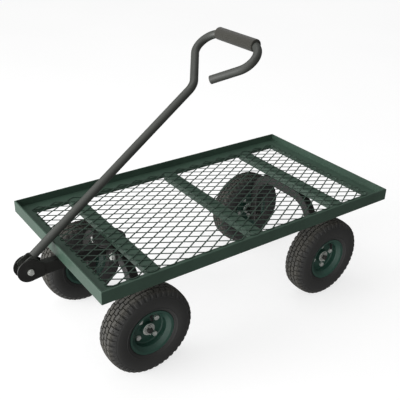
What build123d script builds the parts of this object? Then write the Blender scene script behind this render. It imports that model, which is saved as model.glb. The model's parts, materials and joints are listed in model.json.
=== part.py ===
from build123d import *
import math
import os

# Garden cart: a mesh deck in a steel frame, four pneumatic wheels, a steered front axle
# under a turntable, and a tubular pull handle with a loop and a foam grip.
# Millimetres. +X points forward to the handle, +Y to the cart's left, +Z up.
# The origin is on the ground, half way along the whole cart, on its centre plane.

# Deck frame
deck_x = -52.3
deck_length = 974
deck_width = 530
rim_top = 345
rim_bottom = 310
rim_wall = 4
rim_round = 2
ledge_top = 323
ledge_reach = 41
sheet = 3

# Cross members: channels, open below
member_width = 38
front_member_height = 16
member_height = 20
front_member_x = 320.4
middle_member_x = -12.3
rear_member_x = -322

# Expanded metal mesh, laid on the ledge
mesh_overlap = 8
mesh_edge = 3
mesh_thickness = 2.5
diamond_long = 54
diamond_short = 31
strand = 3
mesh_shift_x = 0
mesh_shift_y = 0

# Wheels
wheel_radius = 127
front_axle_x = 326
rear_axle_x = -315.5
front_half_track = 191
rear_half_track = 189
bead_radius = 50.8
flange_radius = 66
flange_out = 31
rim_sheet = 2.5
rim_bolt_circle = 71
bearing_radius = 17.465
bearing_width = 11.1
bearing_bore = 7.95
axle_radius = 7.9
axle_shoulder = 11
washer_radius = 13.2

# Axle supports: arched box tubes whose ends turn down beside the wheels
beam_width = 28
beam_height = 30
beam_wall = 3
beam_bend = 85
leg_foot = 105
front_beam_top = 297
rear_beam_top = 303
front_leg_out = 149
rear_leg_out = 147

# Turntable
plate_radius = 45
plate_thickness = 4
thrust_washer_radius = 30
thrust_washer_thickness = 1.7
king_radius = 6
king_bore = 6.05
king_hex = 19

# Tongue and ears
tongue_width = 24.6
tongue_bottom = 261.7
tongue_top = 295.7
tongue_wall = 2.5
tongue_end_x = 533.4
tongue_plate_thickness = 4
tongue_plate_width = 140
tongue_bolt_y = 53
tongue_bolt_z = 278.7
ear_thickness = 3.2
ear_radius = 31.7
ear_x = 560
ear_z = 289.2

# Handle, parked leaning back over the deck
pivot_x = 557.9
pivot_z = 285.45
park_tilt = 53.05
bar_offset = 19.7
bar_radius = 11.5
bar_wall = 1.8
pivot_pin_radius = 5
pivot_bore = 5.05
cheek_radius = 23.5
cheek_gap = 9
cheek_out = 12
cheek_foot = -6.1
cheek_top = 31
web_out = 34
kink_along = 643
grip_along = 818
loop_angle = 47.75
kink_radius = 46
loop_radius = 49
cut_end_straight = 83
grip_radius = 17.5
grip_left = 80
grip_right = -82

os.makedirs("parts", exist_ok=True)


def save(piece, name):
    """Label one finished piece and write it to its own file."""
    piece.label = name
    export_step(piece, f"parts/{name}.step")


def hexagon(across_flats, rotation=0):
    """A hexagon measured across its flats."""
    RegularPolygon(radius=across_flats / 2, side_count=6, major_radius=False, rotation=rotation)


# ---------------------------------------------------------------- deck frame

# Rail section, from the outer face (0) inward: rim wall, ledge and inner lip.
rail_outline = [
    (0, rim_bottom),
    (0, rim_top),
    (rim_wall, rim_top),
    (rim_wall, ledge_top),
    (ledge_reach, ledge_top),
    (ledge_reach, rim_bottom),
    (ledge_reach - sheet, rim_bottom),
    (ledge_reach - sheet, ledge_top - sheet),
    (rim_wall, ledge_top - sheet),
    (rim_wall, rim_bottom),
]


def build_rail(name, middle, inward, length):
    """One rail of the frame, mitred at both ends."""
    x_in, y_in = inward
    along = (y_in, -x_in, 0)
    section = Plane(origin=(middle[0], middle[1], 0), x_dir=(x_in, y_in, 0), z_dir=along)
    with BuildPart() as rail:
        with BuildSketch(section) as outline:
            with BuildLine():
                Polyline(*rail_outline, close=True)
            make_face()
            outer_edge = outline.vertices().group_by(Axis.Y)[-1].sort_by(Axis.X)[0]
            fillet(outer_edge, rim_round)
            bend = outline.vertices().filter_by_position(Axis.X, ledge_reach - 1, ledge_reach + 1)
            fillet(bend.sort_by(Axis.Y)[-1], 2)
        extrude(amount=length / 2, both=True)
        for end in (1, -1):
            corner = section.from_local_coords((0, 0, end * length / 2))
            outward = (end * along[0] + x_in, end * along[1] + y_in, 0)
            split(bisect_by=Plane(origin=corner, z_dir=outward), keep=Keep.BOTTOM)
    save(rail.part, name)


build_rail("front_rail", (deck_x + deck_length / 2, 0), (-1, 0), deck_width)
build_rail("rear_rail", (deck_x - deck_length / 2, 0), (1, 0), deck_width)
build_rail("left_rail", (deck_x, deck_width / 2), (0, -1), deck_length)
build_rail("right_rail", (deck_x, -deck_width / 2), (0, 1), deck_length)


def build_member(name, x, height):
    """One cross member, its top level with the ledge, between the inner lips."""
    low = ledge_top - height
    with BuildPart() as member:
        with BuildSketch(Plane(origin=(deck_x + x, 0, 0), x_dir=(1, 0, 0), z_dir=(0, -1, 0))) as channel:
            with Locations((0, (low + ledge_top) / 2)):
                Rectangle(member_width, height)
            fillet(channel.vertices().group_by(Axis.Y)[-1], 3)
            with Locations((0, (low + ledge_top - sheet) / 2)):
                Rectangle(member_width - 2 * sheet, height - sheet, mode=Mode.SUBTRACT)
        extrude(amount=deck_width / 2 - ledge_reach, both=True)
    save(member.part, name)


build_member("front_cross_member", front_member_x, front_member_height)
build_member("middle_cross_member", middle_member_x, member_height)
build_member("rear_cross_member", rear_member_x, member_height)

# Expanded metal sheet: rows of diamonds, every second row half a diamond along.
mesh_length = deck_length - 2 * (ledge_reach - mesh_overlap)
mesh_width = deck_width - 2 * (ledge_reach - mesh_overlap)
strand_angle = math.atan2(diamond_short, diamond_long)
half_long = diamond_long / 2 - strand / (2 * math.sin(strand_angle))
half_short = diamond_short / 2 - strand / (2 * math.cos(strand_angle))
rows = 10
columns = 11
diamond_centres = []
for row in range(-rows, rows + 1):
    for column in range(-columns, columns + 1):
        for half_step in (0, 0.5):
            centre_x = (column + half_step) * diamond_long + mesh_shift_x
            centre_y = (row + half_step) * diamond_short + mesh_shift_y
            near_x = abs(centre_x) < mesh_length / 2 + half_long - mesh_edge
            near_y = abs(centre_y) < mesh_width / 2 + half_short - mesh_edge
            if near_x and near_y:
                diamond_centres.append((centre_x, centre_y))

with BuildSketch() as mesh_holes:
    with Locations(*diamond_centres):
        Polygon((half_long, 0), (0, half_short), (-half_long, 0), (0, -half_short))
    Rectangle(mesh_length - 2 * mesh_edge, mesh_width - 2 * mesh_edge, mode=Mode.INTERSECT)

with BuildPart() as deck_mesh:
    with BuildSketch(Plane(origin=(deck_x, 0, ledge_top))):
        Rectangle(mesh_length, mesh_width)
        add(mesh_holes.sketch, mode=Mode.SUBTRACT)
    extrude(amount=mesh_thickness)
save(deck_mesh.part, "deck_mesh")

# ---------------------------------------------------------------- turntable

steer_x = deck_x + front_axle_x
member_bottom = ledge_top - front_member_height
turntable_bottom = front_beam_top
turntable_top = turntable_bottom + plate_thickness
king_foot = front_beam_top - beam_height


def build_disc(name, bottom, radius, thickness, bore):
    """A flat round plate on the king pin."""
    with BuildPart() as disc:
        with BuildSketch(Plane(origin=(steer_x, 0, bottom))):
            Circle(radius)
            Circle(bore, mode=Mode.SUBTRACT)
        extrude(amount=thickness)
    save(disc.part, name)


build_disc("pivot_plate", member_bottom - plate_thickness, plate_radius, plate_thickness, king_radius)
build_disc("turntable_plate", turntable_bottom, plate_radius, plate_thickness, king_bore)
build_disc("thrust_washer", turntable_top, thrust_washer_radius, thrust_washer_thickness, king_bore)

# King pin: a bolt whose head sits inside the front cross member.
with BuildPart() as king_pin:
    with BuildSketch(Plane(origin=(steer_x, 0, member_bottom))):
        hexagon(king_hex, rotation=30)
    extrude(amount=10)
    with BuildSketch(Plane(origin=(steer_x, 0, king_foot - 18))):
        Circle(king_radius)
    extrude(amount=member_bottom - king_foot + 18)
    chamfer(king_pin.faces().sort_by(Axis.Z)[0].edges(), 1.2)
save(king_pin.part, "king_pin")

with BuildPart() as king_pin_nut:
    with BuildSketch(Plane(origin=(steer_x, 0, king_foot - 0.3))):
        hexagon(king_hex)
        Circle(king_radius, mode=Mode.SUBTRACT)
    extrude(amount=-13)
save(king_pin_nut.part, "king_pin_nut")

# ---------------------------------------------------------------- axle supports


def build_beam(name, x, top, leg_out, steered):
    """An arched box tube. The front one is bored for the king pin and the tongue bolts."""
    middle_z = top - beam_height / 2
    leg_middle = leg_out - beam_height / 2
    with BuildPart() as beam:
        with BuildLine(Plane(origin=(x, 0, 0), x_dir=(0, 1, 0), z_dir=(1, 0, 0))) as arch:
            FilletPolyline(
                (-leg_middle, leg_foot),
                (-leg_middle, middle_z),
                (leg_middle, middle_z),
                (leg_middle, leg_foot),
                radius=beam_bend,
            )
        with BuildSketch(Plane(origin=(x, -leg_middle, leg_foot), x_dir=(1, 0, 0), z_dir=(0, 0, 1))):
            RectangleRounded(beam_width, beam_height, 4)
            RectangleRounded(beam_width - 2 * beam_wall, beam_height - 2 * beam_wall, 1.5, mode=Mode.SUBTRACT)
        sweep()
        with BuildSketch(Plane(origin=(x, 0, wheel_radius), x_dir=(1, 0, 0), z_dir=(0, 1, 0))):
            Circle(axle_shoulder)
        extrude(amount=leg_out + 1, both=True, mode=Mode.SUBTRACT)
        if steered:
            with BuildSketch(Plane(origin=(x, 0, middle_z))):
                Circle(king_bore)
            extrude(amount=beam_height, both=True, mode=Mode.SUBTRACT)
            with BuildSketch(Plane(origin=(x, 0, tongue_bolt_z), x_dir=(0, 1, 0), z_dir=(1, 0, 0))):
                with Locations((tongue_bolt_y, 0), (-tongue_bolt_y, 0)):
                    Circle(pivot_pin_radius)
            extrude(amount=beam_width, both=True, mode=Mode.SUBTRACT)
    save(beam.part, name)


def build_axle(name, x, leg_out, half_track, side):
    """A stub axle: a shoulder welded through the leg, then the wheel's journal."""
    inner = leg_out - beam_height
    shoulder_end = half_track - bearing_width - 1.5
    journal_end = half_track + 23
    pin_at = half_track + 18.5
    with BuildPart() as axle:
        with BuildSketch(Plane(origin=(x, side * (inner - 6), wheel_radius), z_dir=(0, side, 0))):
            Circle(axle_shoulder)
        extrude(amount=shoulder_end - inner + 6)
        with BuildSketch(Plane(origin=(x, side * shoulder_end, wheel_radius), z_dir=(0, side, 0))):
            Circle(axle_radius)
        extrude(amount=journal_end - shoulder_end)
        tip = axle.faces().sort_by(Axis.Y)[-1 if side > 0 else 0]
        chamfer(tip.edges(), 1.2)
        with BuildSketch(Plane(origin=(x, side * pin_at, wheel_radius))):
            Circle(1.7)
        extrude(amount=axle_radius + 2, both=True, mode=Mode.SUBTRACT)
    save(axle.part, name)


def build_axle_fasteners(name, x, half_track):
    """A washer and a cotter pin at the outer end of each stub axle."""
    with BuildPart() as fasteners:
        for side in (1, -1):
            washer_at = side * (half_track + bearing_width + 1.5)
            pin_at = side * (half_track + 18.5)
            with BuildSketch(Plane(origin=(x, washer_at, wheel_radius), z_dir=(0, side, 0))):
                Circle(washer_radius)
                Circle(axle_radius + 0.1, mode=Mode.SUBTRACT)
            extrude(amount=2.5)
            with BuildSketch(Plane(origin=(x, pin_at, wheel_radius - 13))):
                Circle(1.6)
            extrude(amount=24.5)
            with BuildSketch(Plane(origin=(x, pin_at, wheel_radius + 14), z_dir=(0, 1, 0))):
                Circle(4.6)
                Circle(2, mode=Mode.SUBTRACT)
            extrude(amount=1.4, both=True)
    save(fasteners.part, name)


front_x = deck_x + front_axle_x
rear_x = deck_x + rear_axle_x
build_beam("front_beam", front_x, front_beam_top, front_leg_out, True)
build_beam("rear_beam", rear_x, rear_beam_top, rear_leg_out, False)
for side_name, side in (("left", 1), ("right", -1)):
    build_axle(f"front_{side_name}_axle", front_x, front_leg_out, front_half_track, side)
    build_axle(f"rear_{side_name}_axle", rear_x, rear_leg_out, rear_half_track, side)
build_axle_fasteners("front_axle_fasteners", front_x, front_half_track)
build_axle_fasteners("rear_axle_fasteners", rear_x, rear_half_track)

# ---------------------------------------------------------------- tongue

plate_back = front_x + beam_width / 2
plate_front = plate_back + tongue_plate_thickness
tongue_middle_z = (tongue_bottom + tongue_top) / 2
tongue_height = tongue_top - tongue_bottom

with BuildPart() as tongue_plate:
    with BuildSketch(Plane(origin=(plate_back, 0, tongue_middle_z), x_dir=(0, 1, 0), z_dir=(1, 0, 0))):
        RectangleRounded(tongue_plate_width, tongue_height, 6)
        with Locations((tongue_bolt_y, tongue_bolt_z - tongue_middle_z)):
            Circle(pivot_pin_radius, mode=Mode.SUBTRACT)
        with Locations((-tongue_bolt_y, tongue_bolt_z - tongue_middle_z)):
            Circle(pivot_pin_radius, mode=Mode.SUBTRACT)
    extrude(amount=tongue_plate_thickness)
save(tongue_plate.part, "tongue_plate")

# Two bolts through the beam, each with a washer face under the head and a nut behind.
with BuildPart() as tongue_bolts:
    for bolt_y in (tongue_bolt_y, -tongue_bolt_y):
        with BuildSketch(Plane(origin=(plate_front, bolt_y, tongue_bolt_z), z_dir=(1, 0, 0))):
            Circle(10)
        extrude(amount=1.6)
        with BuildSketch(Plane(origin=(plate_front + 1.6, bolt_y, tongue_bolt_z), z_dir=(1, 0, 0))):
            hexagon(16)
        extrude(amount=6.4)
        with BuildSketch(Plane(origin=(plate_front, bolt_y, tongue_bolt_z), z_dir=(-1, 0, 0))):
            Circle(pivot_pin_radius)
        extrude(amount=beam_width + tongue_plate_thickness + 11)
        with BuildSketch(Plane(origin=(plate_back - beam_width, bolt_y, tongue_bolt_z), z_dir=(-1, 0, 0))):
            hexagon(16)
            Circle(pivot_bore, mode=Mode.SUBTRACT)
        extrude(amount=8)
save(tongue_bolts.part, "tongue_bolts")

tongue_front = deck_x + tongue_end_x
with BuildPart() as tongue_tube:
    with BuildSketch(Plane(origin=(plate_front, 0, tongue_middle_z), x_dir=(0, 1, 0), z_dir=(1, 0, 0))):
        RectangleRounded(tongue_width, tongue_height, 3)
        RectangleRounded(tongue_width - 2 * tongue_wall, tongue_height - 2 * tongue_wall, 1, mode=Mode.SUBTRACT)
    extrude(amount=tongue_front - plate_front)
save(tongue_tube.part, "tongue_tube")

pivot = (deck_x + pivot_x, 0, pivot_z)
for side_name, side in (("left", 1), ("right", -1)):
    with BuildPart() as ear:
        with BuildSketch(Plane(origin=(deck_x, side * tongue_width / 2, 0), x_dir=(1, 0, 0), z_dir=(0, -1, 0))):
            with Locations((ear_x, ear_z)):
                Circle(ear_radius)
            with Locations((ear_x - 35, ear_z - 21)):
                Circle(6)
            with Locations((ear_x - 37, ear_z + 9.5)):
                Circle(4)
            make_hull()
            with Locations((pivot_x, pivot_z)):
                Circle(pivot_pin_radius, mode=Mode.SUBTRACT)
        extrude(amount=-side * ear_thickness)
        flat_faces = ear.faces().filter_by(Axis.Y).sort_by(Axis.Y)
        outer_face = flat_faces[-1] if side > 0 else flat_faces[0]
        fillet(outer_face.outer_wire().edges(), 0.8)
    save(ear.part, f"{side_name}_ear")

# Handle pivot: a flanged bolt through both ears and a flanged nut.
ear_out = tongue_width / 2 + ear_thickness
with BuildPart() as handle_pivot_bolt:
    with BuildSketch(Plane(origin=(pivot[0], ear_out, pivot_z), z_dir=(0, 1, 0))):
        Circle(8.5)
    extrude(amount=1.6)
    with BuildSketch(Plane(origin=(pivot[0], ear_out + 1.6, pivot_z), z_dir=(0, 1, 0))):
        hexagon(13)
    extrude(amount=5.4)
    with BuildSketch(Plane(origin=(pivot[0], ear_out, pivot_z), z_dir=(0, -1, 0))):
        Circle(pivot_pin_radius)
    extrude(amount=2 * ear_out + 12)
    chamfer(handle_pivot_bolt.faces().sort_by(Axis.Y)[0].edges(), 0.8)
save(handle_pivot_bolt.part, "handle_pivot_bolt")

with BuildPart() as handle_pivot_nut:
    with BuildSketch(Plane(origin=(pivot[0], -ear_out, pivot_z), z_dir=(0, -1, 0))):
        Circle(10)
        Circle(pivot_pin_radius, mode=Mode.SUBTRACT)
    extrude(amount=1.6)
    with BuildSketch(Plane(origin=(pivot[0], -ear_out - 1.6, pivot_z), z_dir=(0, -1, 0))):
        hexagon(16)
        Circle(pivot_pin_radius, mode=Mode.SUBTRACT)
    extrude(amount=7)
save(handle_pivot_nut.part, "handle_pivot_nut")

# ---------------------------------------------------------------- handle

# Local axes at the pivot: along the bar, and square to it on the bar's upper side.
tilt = math.radians(park_tilt)
bar_along = Vector(-math.sin(tilt), 0, math.cos(tilt))
bar_up = Vector(math.cos(tilt), 0, math.sin(tilt))
cheek_plane = Plane(origin=pivot, x_dir=bar_along, z_dir=(0, 1, 0))

# U bracket: two cheeks round the pivot joined by a web square to the bar.
with BuildPart() as handle_bracket:
    with BuildSketch(cheek_plane):
        with Locations((1, cheek_radius - 0.5)):
            Circle(10)
        with Locations((web_out - 9, cheek_top - 9)):
            Circle(9)
        with Locations((web_out / 2, (cheek_foot + cheek_top - 9) / 2)):
            Rectangle(web_out, cheek_top - 9 - cheek_foot)
        make_hull()
        Circle(cheek_radius)
        Circle(pivot_bore, mode=Mode.SUBTRACT)
    extrude(amount=cheek_out, both=True)
    with BuildSketch(cheek_plane):
        with Locations((web_out - sheet - 40, 0)):
            Rectangle(80, 100)
    extrude(amount=cheek_gap, both=True, mode=Mode.SUBTRACT)
save(handle_bracket.part, "handle_bracket")

# Bar and loop, in the plane that holds the bar and the sideways axis.
bar_origin = Vector(*pivot) + bar_up * bar_offset
loop_plane = Plane(origin=bar_origin, x_dir=bar_along, z_dir=bar_along.cross(Vector(0, 1, 0)))
turn = math.radians(loop_angle)
corner_y = (grip_along - kink_along) * math.tan(turn)
bend_reach = loop_radius * math.tan((math.pi / 2 + turn) / 2)
leg_length = bend_reach + cut_end_straight
cut_end = (grip_along - leg_length * math.cos(turn), corner_y - leg_length * math.sin(turn))

with BuildPart() as handle_tube:
    with BuildLine(loop_plane) as centre_line:
        FilletPolyline(
            (web_out, 0),
            (kink_along, 0),
            (grip_along, -corner_y),
            (grip_along, corner_y),
            cut_end,
            radius=[kink_radius, loop_radius, loop_radius],
        )
    with BuildSketch(Plane(origin=centre_line.line @ 0, z_dir=centre_line.line % 0)):
        Circle(bar_radius)
        Circle(bar_radius - bar_wall, mode=Mode.SUBTRACT)
    sweep()
save(handle_tube.part, "handle_tube")

# Foam grip: a straight sleeve over the loop's top. The tube starts to bend inside its ends.
straight_half = corner_y - bend_reach
with BuildPart() as handle_grip:
    grip_start = loop_plane.from_local_coords((grip_along, grip_right, 0))
    with BuildSketch(Plane(origin=grip_start, z_dir=(0, 1, 0))):
        Circle(grip_radius)
    extrude(amount=grip_left - grip_right)
    fillet(handle_grip.edges().filter_by(GeomType.CIRCLE), 3)
    with BuildLine(loop_plane):
        left_bend = JernArc((grip_along, straight_half), (0, 1), loop_radius, 60)
        Line((grip_along, -straight_half), (grip_along, straight_half))
        JernArc((grip_along, -straight_half), (0, -1), loop_radius, -60)
    with BuildSketch(Plane(origin=left_bend @ 1, z_dir=left_bend % 1)):
        Circle(bar_radius)
    sweep(mode=Mode.SUBTRACT)
save(handle_grip.part, "handle_grip")

# ---------------------------------------------------------------- wheels

# Half a pressed rim, as (radius, distance out from the wheel's middle plane).
rim_outline = [
    (bearing_radius, 0),
    (bearing_radius, 12.5),
    (20, 12.5),
    (20, rim_sheet),
    (bead_radius - rim_sheet, rim_sheet),
    (bead_radius - rim_sheet, 20),
    (59, 29.6),
    (flange_radius, flange_out),
    (flange_radius, flange_out - rim_sheet),
    (61, 27.2),
    (bead_radius, 18.2),
    (bead_radius, 0),
]
bolt_flats = 13
bolt_radius = 4


def build_wheel(name, x, half_track, side, first_bolt):
    """One wheel: tyre, two rim halves bolted together, two ball bearings and a valve."""
    centre = (x, side * half_track, wheel_radius)
    section = Plane(origin=centre, x_dir=(1, 0, 0), z_dir=(0, 0, side))
    spin = Axis(centre, (0, 1, 0))
    face = Plane(origin=centre, x_dir=(1, 0, 0), z_dir=(0, side, 0))
    bolt_spots = PolarLocations(rim_bolt_circle / 2, 4, start_angle=first_bolt)

    # Tyre: an open casing whose beads sit in the rim flanges.
    with BuildPart() as tyre:
        with BuildSketch(section):
            with BuildLine():
                ThreePointArc((124, 23), (wheel_radius, 0), (124, -23))
                for out in (1, -1):
                    ThreePointArc((124, out * 23), (121.5, out * 29.5), (115, out * 33))
                    ThreePointArc((115, out * 33), (92, out * 38), (68.5, out * 32))
                    Line((68.5, out * 32), (66.6, out * 28.2))
                    Line((66.6, out * 28.2), (61.2, out * 26.8))
                    Line((61.2, out * 26.8), (51.1, out * 17.9))
                    Line((51.1, out * 17.9), (51.1, out * 15))
                    Line((51.1, out * 15), (60, out * 18.5))
                    ThreePointArc((60, out * 18.5), (88, out * 31), (112, out * 25))
                ThreePointArc((112, 25), (118, 0), (112, -25))
            make_face()
        revolve(axis=spin)
    save(tyre.part, f"{name}_tyre")

    # The valve stem leans out of the outer rim half's barrel, between two bolts.
    lean = math.radians(40)
    valve_turn = math.radians(first_bolt - 135)
    radial = face.x_dir * math.cos(valve_turn) + face.y_dir * math.sin(valve_turn)
    valve_foot = Vector(*centre) + radial * 51.8 + face.z_dir * 7
    valve_lean = radial * -math.cos(lean) + face.z_dir * math.sin(lean)
    valve_plane = Plane(origin=valve_foot, z_dir=valve_lean)
    with BuildPart() as valve:
        with BuildSketch(valve_plane):
            Circle(5.5)
        extrude(amount=12)
        with BuildSketch(valve_plane.offset(12)):
            Circle(3.9)
        extrude(amount=13)
    save(valve.part, f"{name}_valve_stem")

    for rim_name, out in (("outer_rim", 1), ("inner_rim", -1)):
        with BuildPart() as rim:
            with BuildSketch(section) as half_rim:
                with BuildLine():
                    Polyline(*[(radius, out * offset) for radius, offset in rim_outline], close=True)
                make_face()
                air_side = half_rim.vertices().filter_by_position(Axis.X, 48, 48.5)
                fillet(air_side, 4)
                lip = half_rim.vertices().filter_by_position(Axis.X, 58.9, 59.1)
                fillet(lip, 4)
            revolve(axis=spin)
            with BuildSketch(face):
                with bolt_spots:
                    Circle(bolt_radius)
            extrude(amount=5, both=True, mode=Mode.SUBTRACT)
            if out > 0:
                with BuildSketch(valve_plane.offset(-3)):
                    Circle(5.6)
                extrude(amount=15, mode=Mode.SUBTRACT)
        save(rim.part, f"{name}_{rim_name}")

    with BuildPart() as bearings:
        for out in (1, -1):
            near = out * 1.2
            far = out * (1.2 + bearing_width)
            with BuildSketch(section):
                with BuildLine():
                    Polyline(
                        (bearing_bore, near),
                        (bearing_radius, near),
                        (bearing_radius, far),
                        (15.2, far),
                        (15.2, far - out * 0.7),
                        (10.4, far - out * 0.7),
                        (10.4, far),
                        (bearing_bore, far),
                        close=True,
                    )
                make_face()
            revolve(axis=spin)
    save(bearings.part, f"{name}_bearings")

    # Four bolts and nuts clamp the two rim halves.
    with BuildPart() as bolts:
        with BuildSketch(face.offset(rim_sheet)):
            with bolt_spots:
                hexagon(bolt_flats)
        extrude(amount=5.3)
        with BuildSketch(face.offset(rim_sheet)):
            with bolt_spots:
                Circle(bolt_radius)
        extrude(amount=-14)
        with BuildSketch(face.offset(-rim_sheet)):
            with bolt_spots:
                hexagon(bolt_flats)
                Circle(bolt_radius + 0.05, mode=Mode.SUBTRACT)
        extrude(amount=-6.5)
    save(bolts.part, f"{name}_rim_bolts")


build_wheel("front_left", front_x, front_half_track, 1, 38)
build_wheel("front_right", front_x, front_half_track, -1, 20)
build_wheel("rear_left", rear_x, rear_half_track, 1, 8)
build_wheel("rear_right", rear_x, rear_half_track, -1, 70)
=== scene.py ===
import json
import math

import bmesh
import bpy
from mathutils import Matrix, Vector


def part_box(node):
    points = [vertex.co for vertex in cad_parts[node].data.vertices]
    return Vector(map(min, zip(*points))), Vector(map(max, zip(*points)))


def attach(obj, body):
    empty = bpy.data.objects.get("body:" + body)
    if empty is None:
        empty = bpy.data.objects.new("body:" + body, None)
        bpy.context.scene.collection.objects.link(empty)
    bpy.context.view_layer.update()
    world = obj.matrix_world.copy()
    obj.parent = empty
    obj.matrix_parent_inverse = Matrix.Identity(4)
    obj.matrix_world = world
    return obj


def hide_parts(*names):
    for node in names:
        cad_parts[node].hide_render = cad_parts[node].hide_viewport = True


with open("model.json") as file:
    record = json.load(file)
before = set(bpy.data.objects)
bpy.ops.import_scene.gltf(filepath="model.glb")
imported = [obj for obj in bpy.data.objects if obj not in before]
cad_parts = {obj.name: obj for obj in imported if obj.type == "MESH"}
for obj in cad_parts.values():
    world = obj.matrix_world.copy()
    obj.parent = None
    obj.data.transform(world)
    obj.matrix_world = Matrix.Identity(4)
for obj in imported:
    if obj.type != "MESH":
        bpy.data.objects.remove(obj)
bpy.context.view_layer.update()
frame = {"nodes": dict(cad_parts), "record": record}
nodes = frame["nodes"]
MM = 0.001

# ------------------------------------------------------------------ materials


def new_material(name, roughness, metallic=0.0, specular=0.5, coat=0.0, coat_roughness=0.2):
    """A Principled material with its constant values set on its own sockets."""
    mat = bpy.data.materials.new(name)
    mat.use_nodes = True
    shader = mat.node_tree.nodes["Principled BSDF"]
    shader.inputs["Roughness"].default_value = roughness
    shader.inputs["Metallic"].default_value = metallic
    shader.inputs["Specular IOR Level"].default_value = specular
    shader.inputs["Coat Weight"].default_value = coat
    shader.inputs["Coat Roughness"].default_value = coat_roughness
    return mat, mat.node_tree, shader


def noise(tree, scale, detail=3.0, rough=0.5):
    """Noise over the piece's own coordinates."""
    where = tree.nodes.new("ShaderNodeTexCoord")
    tex = tree.nodes.new("ShaderNodeTexNoise")
    tex.inputs["Scale"].default_value = scale
    tex.inputs["Detail"].default_value = detail
    tex.inputs["Roughness"].default_value = rough
    tree.links.new(where.outputs["Object"], tex.inputs["Vector"])
    return tex.outputs["Fac"]


def ramp(tree, fac, stops):
    """A colour ramp; stops are (position, linear colour)."""
    node = tree.nodes.new("ShaderNodeValToRGB")
    while len(node.color_ramp.elements) < len(stops):
        node.color_ramp.elements.new(0.5)
    for element, (position, colour) in zip(node.color_ramp.elements, stops):
        element.position = position
        element.color = (*colour, 1)
    tree.links.new(fac, node.inputs["Fac"])
    return node.outputs["Color"]


def map_range(tree, value, low, high, to_low, to_high):
    """A value's range from low to high, stretched to another range and held at its ends."""
    node = tree.nodes.new("ShaderNodeMapRange")
    node.inputs["From Min"].default_value = low
    node.inputs["From Max"].default_value = high
    node.inputs["To Min"].default_value = to_low
    node.inputs["To Max"].default_value = to_high
    tree.links.new(value, node.inputs["Value"])
    return node.outputs["Result"]


def bump(tree, shader, height, strength, distance):
    """Fine relief on the shader's normal."""
    node = tree.nodes.new("ShaderNodeBump")
    node.inputs["Strength"].default_value = strength
    node.inputs["Distance"].default_value = distance
    tree.links.new(height, node.inputs["Height"])
    tree.links.new(node.outputs["Normal"], shader.inputs["Normal"])


def linear(red, green, blue):
    """An 8-bit sRGB colour made linear. No colour here is dark enough for the curve's straight foot."""
    return tuple(((c / 255 + 0.055) / 1.055) ** 2.4 for c in (red, green, blue))


def shade(colour, factor):
    """A colour made darker or lighter."""
    return tuple(c * factor for c in colour)


def paint(name, colour, roughness, specular=0.5, coat=0.0, spread=0.14, peel=0.25):
    """Sprayed paint: faint cloudy colour, orange peel, and a roughness that varies a little."""
    mat, tree, shader = new_material(name, roughness, specular=specular, coat=coat)
    cloud = noise(tree, 9.0, 4.0, 0.6)
    tree.links.new(
        ramp(tree, cloud, [(0.3, shade(colour, 1 - spread)), (0.7, shade(colour, 1 + spread))]),
        shader.inputs["Base Color"],
    )
    varied = map_range(tree, noise(tree, 60.0), 0.3, 0.7, roughness - 0.05, roughness + 0.07)
    tree.links.new(varied, shader.inputs["Roughness"])
    bump(tree, shader, noise(tree, 420.0, 2.0), peel, 0.0002)
    return mat


def zinc_plate(name, metallic):
    """Bright plating; the more metallic, the darker where nothing bright is mirrored."""
    mat, tree, shader = new_material(name, 0.38, metallic=metallic)
    patches = noise(tree, 140.0, 4.0, 0.6)
    tree.links.new(
        ramp(tree, patches, [(0.3, linear(176, 179, 176)), (0.7, linear(226, 228, 222))]),
        shader.inputs["Base Color"],
    )
    tree.links.new(map_range(tree, patches, 0.3, 0.7, 0.32, 0.5), shader.inputs["Roughness"])
    bump(tree, shader, noise(tree, 700.0, 2.0), 0.15, 0.0001)
    return mat


def foam_rubber(name, colour):
    """Closed-cell foam: matte, with fine pores and a soft sheen."""
    mat, tree, shader = new_material(name, 0.85, specular=0.3)
    shader.inputs["Sheen Weight"].default_value = 0.25
    shader.inputs["Sheen Roughness"].default_value = 0.5
    tree.links.new(
        ramp(
            tree,
            noise(tree, 260.0, 4.0, 0.65),
            [(0.32, shade(colour, 0.72)), (0.68, shade(colour, 1.2))],
        ),
        shader.inputs["Base Color"],
    )
    bump(tree, shader, noise(tree, 900.0, 4.0, 0.7), 0.6, 0.0004)
    return mat


# Radii in metres between which the tread's dust comes in.
DUST_STARTS = 0.108
DUST_FULL = 0.1235


def tyre_rubber(name, sidewall, tread):
    """Rubber: dark sidewalls, and a dusty tread beyond the shoulder's radius."""
    mat, tree, shader = new_material(name, 0.62, specular=0.4)
    where = tree.nodes.new("ShaderNodeTexCoord")
    flat = tree.nodes.new("ShaderNodeVectorMath")
    flat.operation = "MULTIPLY"
    flat.inputs[1].default_value = (1, 0, 1)
    tree.links.new(where.outputs["Object"], flat.inputs[0])
    radius = tree.nodes.new("ShaderNodeVectorMath")
    radius.operation = "LENGTH"
    tree.links.new(flat.outputs["Vector"], radius.inputs[0])
    outer = map_range(tree, radius.outputs["Value"], DUST_STARTS, DUST_FULL, 0.0, 1.0)
    dust = noise(tree, 45.0, 5.0, 0.65)
    amount = tree.nodes.new("ShaderNodeMath")
    amount.operation = "MULTIPLY"
    tree.links.new(outer, amount.inputs[0])
    tree.links.new(map_range(tree, dust, 0.3, 0.7, 0.55, 1.0), amount.inputs[1])
    tree.links.new(
        ramp(
            tree,
            amount.outputs["Value"],
            [(0.0, sidewall), (0.45, shade(sidewall, 1.15)), (1.0, tread)],
        ),
        shader.inputs["Base Color"],
    )
    varied = map_range(tree, amount.outputs["Value"], 0.0, 1.0, 0.55, 0.85)
    tree.links.new(varied, shader.inputs["Roughness"])
    bump(tree, shader, noise(tree, 350.0, 4.0, 0.6), 0.35, 0.0004)
    return mat


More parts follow.
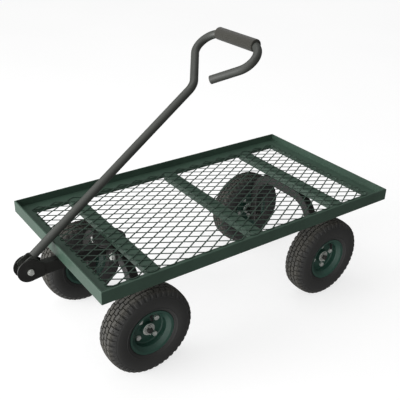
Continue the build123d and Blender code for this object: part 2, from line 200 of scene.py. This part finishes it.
frame_green = paint("frame_green", linear(54, 75, 63), 0.42, specular=0.45)
# The deck mesh has the frame's paint. Its colour here is that green darkened: painted shade, so the
# strands look darker than the frame.
mesh_green_painted_shade = paint("mesh_green_painted_shade", linear(46, 64, 54), 0.45, specular=0.45)
rim_green = paint("rim_green", linear(40, 74, 63), 0.4, specular=0.5, coat=0.1)
chassis_black = paint("chassis_black", linear(34, 34, 32), 0.5, specular=0.4)
handle_grey = paint("handle_grey", linear(58, 60, 56), 0.45, specular=0.5, peel=0.5)
axle_dark = paint("axle_dark", linear(40, 40, 37), 0.45)
zinc = zinc_plate("zinc", 0.3)
dull_zinc = zinc_plate("dull_zinc", 0.75)
nylon_black = paint("nylon_black", linear(28, 28, 28), 0.6, peel=0.1)
foam = foam_rubber("foam", linear(44, 43, 37))
tyre_black = tyre_rubber("tyre_black", linear(52, 52, 51), linear(70, 68, 62))
valve_black = foam_rubber("valve_black", linear(24, 24, 24))

finish_of_slot = {
    "frame_paint": frame_green,
    "mesh_paint": mesh_green_painted_shade,
    "rim_paint": rim_green,
    "chassis_paint": chassis_black,
    "handle_paint": handle_grey,
    "axle_steel": axle_dark,
    "zinc": zinc,
    "nylon": nylon_black,
    "foam": foam,
    "tyre": tyre_black,
    "valve_rubber": valve_black,
}
for part in frame["record"]["subparts"]:
    mesh = nodes[part["node"]].data
    mesh.materials.clear()
    mesh.materials.append(finish_of_slot[part["material_slot"]])


for fasteners in ("front_axle_fasteners", "rear_axle_fasteners"):
    nodes[fasteners].data.materials[0] = dull_zinc


def add_piece(name, mesh, material, body, location=(0, 0, 0)):
    """A new object in this material, riding on a body."""
    mesh.materials.append(material)
    piece = bpy.data.objects.new(name, mesh)
    piece.location = location
    bpy.context.scene.collection.objects.link(piece)
    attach(piece, body)
    return piece


def smooth(mesh, angle):
    """Smooth shading with edges sharper than angle kept crisp."""
    for polygon in mesh.polygons:
        polygon.use_smooth = True
    mesh.set_sharp_from_angle(angle=math.radians(angle))


def ring_mesh(name, rings):
    """A closed surface through rings of points: each joined to the next, the last to the first."""
    count, points = len(rings), len(rings[0])
    verts = [point for ring in rings for point in ring]
    faces = []
    for i in range(count):
        for j in range(points):
            a = i * points + j
            b = i * points + (j + 1) % points
            c = ((i + 1) % count) * points + (j + 1) % points
            d = ((i + 1) % count) * points + j
            faces.append((a, b, c, d))
    mesh = bpy.data.meshes.new(name)
    mesh.from_pydata(verts, [], faces)
    mesh.update()
    return mesh


# ------------------------------------------------------------------ tyres

# Millimetres, about the wheel's axis, which is the piece's own Y.
WHEEL_R = 127.0
TREAD_HALF = 26.2
CROWN_DROP = 3.1
PITCHES = 44
GROOVE = 4.5
THIN_GROOVE = 1.6
CROSS_GROOVE = GROOVE - 0.4
SHOULDER_NOTCH = 4.2
# How far the blocks' edges swing to each side, and the tread offsets that swing.
ZIGZAG = 0.9
BLOCK_EDGES = (2.1, 11.0, 14.8, 23.2, 26.2)
# Each wheel's tread is turned by this angle more than the one before.
WHEEL_TURN = 0.37
# Where each pitch is sampled: two cross grooves, half a pitch apart, with steep walls.
STEPS = [0.0, 0.035, 0.125, 0.16, 0.33, 0.5, 0.535, 0.625, 0.66, 0.83]
ROW_A = {0.035, 0.125}
ROW_B = {0.535, 0.625}
# Steps where each shoulder is notched: on the outer side of the wheel, then on the inner.
NOTCH_OUTER = {0.535, 0.625, 0.66, 0.83}
NOTCH_INNER = {0.035, 0.125, 0.16, 0.33}
# Tread section on one half: (distance from the middle, groove or row letter).
TREAD = [
    (0.0, "groove"), (1.3, "groove"), (2.1, "a"), (6.5, "a"), (11.0, "a"), (11.8, "groove"),
    (14.0, "groove"), (14.8, "b"), (19.0, "b"), (23.2, "b"), (24.0, "thin"), (25.4, "thin"), (26.2, "a"),
]
# Shoulder: (radius, distance from the middle, share of the notch's depth). Sidewall: the first two.
SHOULDER = [
    (122.2, 28.4, 1.0), (119.6, 31.0, 1.0), (116.2, 32.9, 0.9), (112.6, 34.2, 0.55), (111.4, 34.7, 0.0),
]
SIDEWALL = [
    (109.6, 35.3), (108.6, 34.9), (107.4, 35.7), (104.0, 36.5), (98.0, 37.4), (92.0, 37.7), (86.0, 37.1),
    (80.0, 35.7), (77.6, 35.0), (77.0, 35.6), (75.6, 35.1), (75.0, 34.2), (71.5, 32.8), (68.6, 31.4),
    (67.4, 29.8), (66.6, 28.3), (61.2, 26.7), (51.2, 17.8), (51.2, 14.0),
]


def crown(offset):
    """Radius of the tread's top at this distance from the wheel's middle."""
    return WHEEL_R - CROWN_DROP * (abs(offset) / TREAD_HALF) ** 2.2


def tyre_section(step, zigzag):
    """The tyre's section at this step of a pitch: (radius, offset) from the inner bead to the outer."""
    half = []
    for side in (-1, 1):
        line = []
        for offset, kind in TREAD:
            depth = 0.0
            if kind == "groove":
                depth = GROOVE
            elif kind == "thin":
                depth = THIN_GROOVE
            in_row_b = kind == "b"
            cut = ROW_B if (in_row_b == (side > 0)) else ROW_A
            if kind in "ab" and step in cut:
                depth = CROSS_GROOVE
            shift = zigzag if kind in ("groove", "thin") or offset in BLOCK_EDGES else 0.0
            if offset == 0.0 and side < 0:
                continue
            line.append((crown(offset) - depth, side * offset + shift))
        cut = NOTCH_INNER if side < 0 else NOTCH_OUTER
        for radius, offset, share in SHOULDER:
            depth = share * SHOULDER_NOTCH if step in cut else 0.0
            line.append((radius - depth, side * (offset - 0.3 * depth)))
        for radius, offset in SIDEWALL:
            line.append((radius, side * offset))
        half.append(line)
    return list(reversed(half[0])) + half[1]


def build_tyre(name, turn, facing):
    """A closed treaded casing about its own Y axis; facing is -1 on the right wheels."""
    rings = []
    for pitch in range(PITCHES):
        for step in STEPS:
            angle = 2 * math.pi * (pitch + step) / PITCHES + turn
            zigzag = ZIGZAG if 0.16 <= step < 0.5 else -ZIGZAG
            if step in (0.0, 0.5):
                zigzag = 0.0
            ring = []
            for radius, offset in tyre_section(step, zigzag):
                x, z = radius * math.cos(angle), facing * radius * math.sin(angle)
                ring.append((x * MM, facing * offset * MM, z * MM))
            rings.append(ring)
    mesh = ring_mesh(name, rings)
    smooth(mesh, 38)
    return mesh


for index, wheel in enumerate(("front_left", "front_right", "rear_left", "rear_right")):
    low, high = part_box(f"{wheel}_tyre")
    middle = (Vector(low) + Vector(high)) / 2
    facing = 1 if "left" in wheel else -1
    mesh = build_tyre(f"{wheel}_tread", WHEEL_TURN * index, facing)
    tyre = add_piece(f"{wheel}_treaded_tyre", mesh, tyre_black, f"{wheel}_wheel", middle)
    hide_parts(f"{wheel}_tyre")

# ------------------------------------------------------------------ expanded metal deck

# Millimetres: a diamond's diagonals, a strand's width, the sheet's thickness, and how far the
# edges of a strand rise and fall from its middle.
LONG, SHORT = 54.0, 31.0
STRAND = 3.6
SHEET = 1.5
LEAN = 0.5
COLUMNS, ROWS = 10, 9
# The cut edge of the sheet lies this far inside the CAD sheet's.
TRIM = 1.0


def build_deck_mesh():
    """Diamonds cut in one sheet. Each strand leans, its edge nearer the left side raised."""
    low, high = (Vector(v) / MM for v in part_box("deck_mesh"))
    level = (low.z + high.z) / 2
    middle_x, middle_y = (low.x + high.x) / 2, (low.y + high.y) / 2
    slope = math.atan2(SHORT, LONG)
    half_long = LONG / 2 - STRAND / (2 * math.sin(slope))
    half_short = SHORT / 2 - STRAND / (2 * math.cos(slope))
    bm = bmesh.new()
    corner = {}

    def vert(key, x, y, lift):
        """A corner's two points, on the sheet's top and under it."""
        if key not in corner:
            pair = []
            for up in (SHEET / 2, -SHEET / 2):
                pair.append(bm.verts.new((x * MM, y * MM, (level + lift + up) * MM)))
            corner[key] = pair
        return corner[key]

    def plate(keys):
        """Top and bottom between these corners. The walls come later, round each diamond."""
        bm.faces.new([corner[k][0] for k in keys])
        bm.faces.new([corner[k][1] for k in reversed(keys)])

    holes = set()
    for column in range(-2 * COLUMNS, 2 * COLUMNS + 1):
        for row in range(-2 * ROWS, 2 * ROWS + 1):
            if (column + row) % 2:
                continue
            holes.add((column, row))
            x, y = middle_x + column * LONG / 2, middle_y + row * SHORT / 2
            vert((column, row, "e"), x + half_long, y, 0)
            vert((column, row, "w"), x - half_long, y, 0)
            vert((column, row, "n"), x, y + half_short, -LEAN)
            vert((column, row, "s"), x, y - half_short, LEAN)
    for column, row in holes:
        up_right = (column + 1, row + 1)
        up_left = (column - 1, row + 1)
        if up_right in holes:
            plate([(column, row, "n"), (column, row, "e"), (*up_right, "s"), (*up_right, "w")])
        if up_left in holes:
            plate([(column, row, "w"), (column, row, "n"), (*up_left, "e"), (*up_left, "s")])
        east, above, below = (column + 2, row), (column + 1, row + 1), (column + 1, row - 1)
        if east in holes and above in holes and below in holes:
            plate([(column, row, "e"), (*below, "n"), (*east, "w"), (*above, "s")])
    for column, row in holes:
        around = ["e", "n", "w", "s"]
        for first, second in zip(around, around[1:] + around[:1]):
            a, b = corner[(column, row, first)], corner[(column, row, second)]
            if bm.edges.get((a[0], b[0])) and bm.edges.get((a[1], b[1])):
                bm.faces.new((a[0], a[1], b[1], b[0]))
    for edge_point, normal in (
        ((low.x + TRIM, 0, 0), (-1, 0, 0)),
        ((high.x - TRIM, 0, 0), (1, 0, 0)),
        ((0, low.y + TRIM, 0), (0, -1, 0)),
        ((0, high.y - TRIM, 0), (0, 1, 0)),
    ):
        cut = bmesh.ops.bisect_plane(
            bm,
            geom=bm.verts[:] + bm.edges[:] + bm.faces[:],
            plane_co=Vector(edge_point) * MM,
            plane_no=normal,
            clear_outer=True,
        )
        open_edges = [e for e in cut["geom_cut"] if isinstance(e, bmesh.types.BMEdge)]
        bmesh.ops.holes_fill(bm, edges=open_edges, sides=0)
    bmesh.ops.recalc_face_normals(bm, faces=bm.faces[:])
    mesh = bpy.data.meshes.new("expanded_metal")
    bm.to_mesh(mesh)
    bm.free()
    return mesh


deck = add_piece("expanded_metal_deck", build_deck_mesh(), mesh_green_painted_shade, "frame")
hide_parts("deck_mesh")

# ------------------------------------------------------------------ camera, floor and light

# The camera's own right, down and ahead, and where it stands in metres.
RIGHT = Vector((-0.81454, 0.57947, 0.02699))
DOWN = Vector((0.2503, 0.39305, -0.8848))
AHEAD = Vector((-0.52332, -0.71395, -0.4652))
STANDS = (0.95895, 1.34691, 1.21149)
FLOOR_HALF = 30
FLOOR_GLOW = 0.72

camera_data = bpy.data.cameras.new("camera")
camera_data.sensor_width = 36.0
camera_data.lens = 57.71
camera_data.clip_end = 100
camera = bpy.data.objects.new("camera", camera_data)
bpy.context.scene.collection.objects.link(camera)
rotation = Matrix((RIGHT, -DOWN, -AHEAD)).transposed()
camera.matrix_world = Matrix.Translation(STANDS) @ rotation.to_4x4()
bpy.context.scene.camera = camera

floor_mesh = bpy.data.meshes.new("floor")
floor_corners = [(x * FLOOR_HALF, y * FLOOR_HALF, 0) for x, y in ((-1, -1), (1, -1), (1, 1), (-1, 1))]
floor_mesh.from_pydata(floor_corners, [], [(0, 1, 2, 3)])
floor_material, floor_tree, floor_shader = new_material("floor_white", 0.9, specular=0.0)
floor_tree.links.new(
    ramp(floor_tree, noise(floor_tree, 0.8), [(0.3, (0.33, 0.33, 0.33)), (0.7, (0.35, 0.35, 0.35))]),
    floor_shader.inputs["Base Color"],
)
floor_shader.inputs["Emission Color"].default_value = (1, 1, 1, 1)
floor_shader.inputs["Emission Strength"].default_value = FLOOR_GLOW
floor_mesh.materials.append(floor_material)
floor = bpy.data.objects.new("floor", floor_mesh)
bpy.context.scene.collection.objects.link(floor)
floor.visible_glossy = False
floor.visible_diffuse = False


def build_world():
    """White to the camera. To the object, bright in front, a little lighter above, and dim elsewhere."""
    world = bpy.data.worlds.new("studio")
    bpy.context.scene.world = world
    world.use_nodes = True
    tree = world.node_tree
    background = tree.nodes["Background"]
    where = tree.nodes.new("ShaderNodeTexCoord")
    split = tree.nodes.new("ShaderNodeSeparateXYZ")
    tree.links.new(where.outputs["Generated"], split.inputs["Vector"])
    front = map_range(tree, split.outputs["X"], 0.0, 1.0, 0.15, 1.65)
    above = map_range(tree, split.outputs["Z"], 0.2, 1.0, 0.0, 0.3)
    below = map_range(tree, split.outputs["Z"], -0.6, 0.0, 1.15, 1.0)
    total = tree.nodes.new("ShaderNodeMath")
    total.operation = "ADD"
    tree.links.new(front, total.inputs[0])
    tree.links.new(above, total.inputs[1])
    dimmed = tree.nodes.new("ShaderNodeMath")
    dimmed.operation = "MULTIPLY"
    tree.links.new(total.outputs["Value"], dimmed.inputs[0])
    tree.links.new(below, dimmed.inputs[1])
    path = tree.nodes.new("ShaderNodeLightPath")
    choose = tree.nodes.new("ShaderNodeMix")
    choose.data_type = "FLOAT"
    tree.links.new(path.outputs["Is Camera Ray"], choose.inputs["Factor"])
    tree.links.new(dimmed.outputs["Value"], choose.inputs["A"])
    choose.inputs["B"].default_value = 1.0
    tree.links.new(choose.outputs["Result"], background.inputs["Strength"])
    background.inputs["Color"].default_value = (1, 1, 1, 1)


build_world()


def area_light(name, location, target, size, power):
    """A soft rectangular light aimed at a point."""
    data = bpy.data.lights.new(name, "AREA")
    data.shape = "RECTANGLE"
    data.size, data.size_y = size
    data.energy = power
    light = bpy.data.objects.new(name, data)
    light.location = location
    light.rotation_mode = "QUATERNION"
    light.rotation_quaternion = (Vector(target) - Vector(location)).to_track_quat("-Z", "Y")
    bpy.context.scene.collection.objects.link(light)


area_light("key", (3.2, -0.8, 0.9), (0.2, 0, 0.3), (2.0, 1.6), 95)
area_light("top", (0.2, -0.6, 3.4), (0, 0, 0.3), (2.0, 2.0), 20)

bpy.context.scene.view_settings.view_transform = "Standard"
